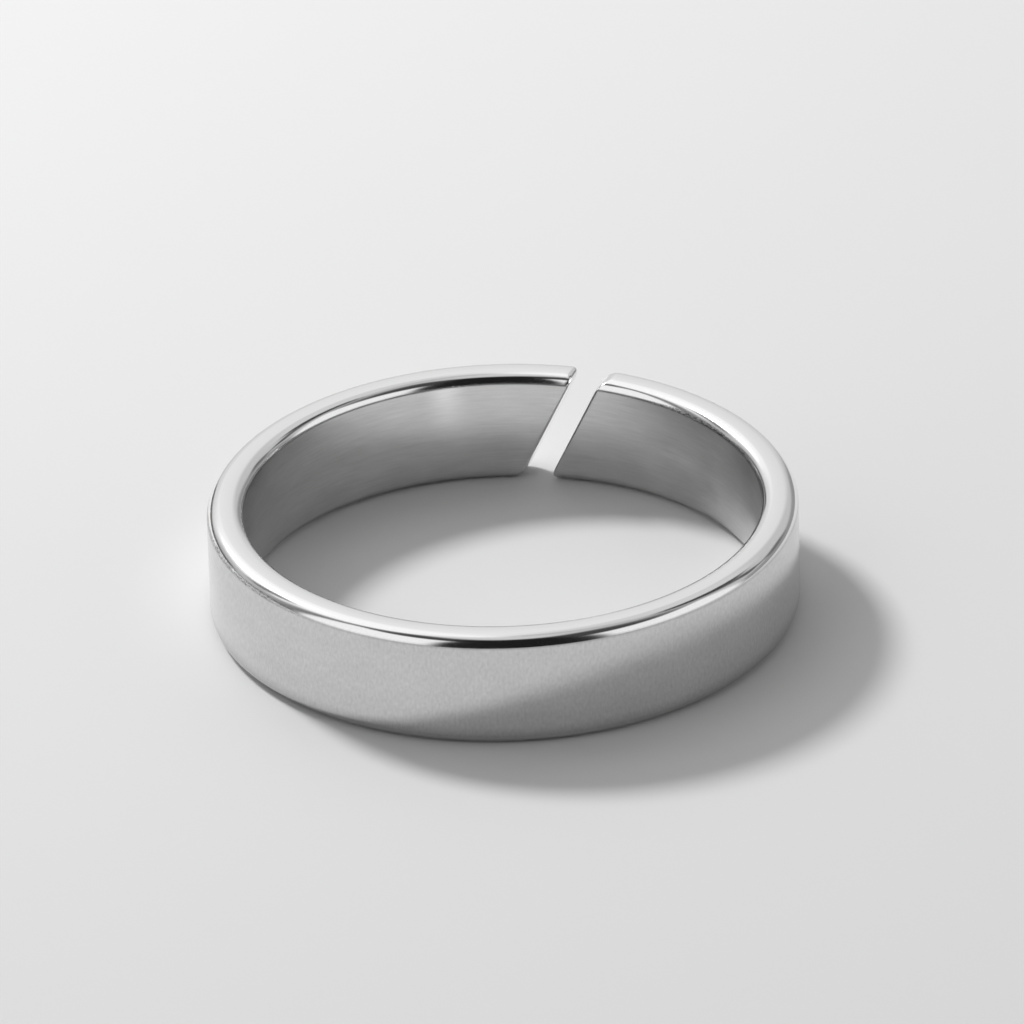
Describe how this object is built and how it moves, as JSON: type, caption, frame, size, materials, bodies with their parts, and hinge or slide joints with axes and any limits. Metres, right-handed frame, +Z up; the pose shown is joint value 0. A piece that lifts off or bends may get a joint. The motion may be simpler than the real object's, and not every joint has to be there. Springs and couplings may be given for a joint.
{
  "type": "open cuff ring",
  "caption": "Plain polished open cuff ring: a flat band with softly rounded edges, cut through once by a narrow slanted slit so that it springs to the finger.",
  "frame": {"origin": "centre of the ring's lower flat face, on the finger's axis, at the level of the surface it lies on", "axes": "+Z up, along the finger's axis; +Y from the axis towards the slit; the top of the slit leans towards +X"},
  "size_m": [0.0198, 0.0198, 0.004],
  "materials": {
    "silver": "polished silver: bright flat faces and rounded edges, and walls with a soft satin haze and very fine lines round the band"
  },
  "bodies": {
    "root": {"band": "silver"}
  },
  "joints": []
}
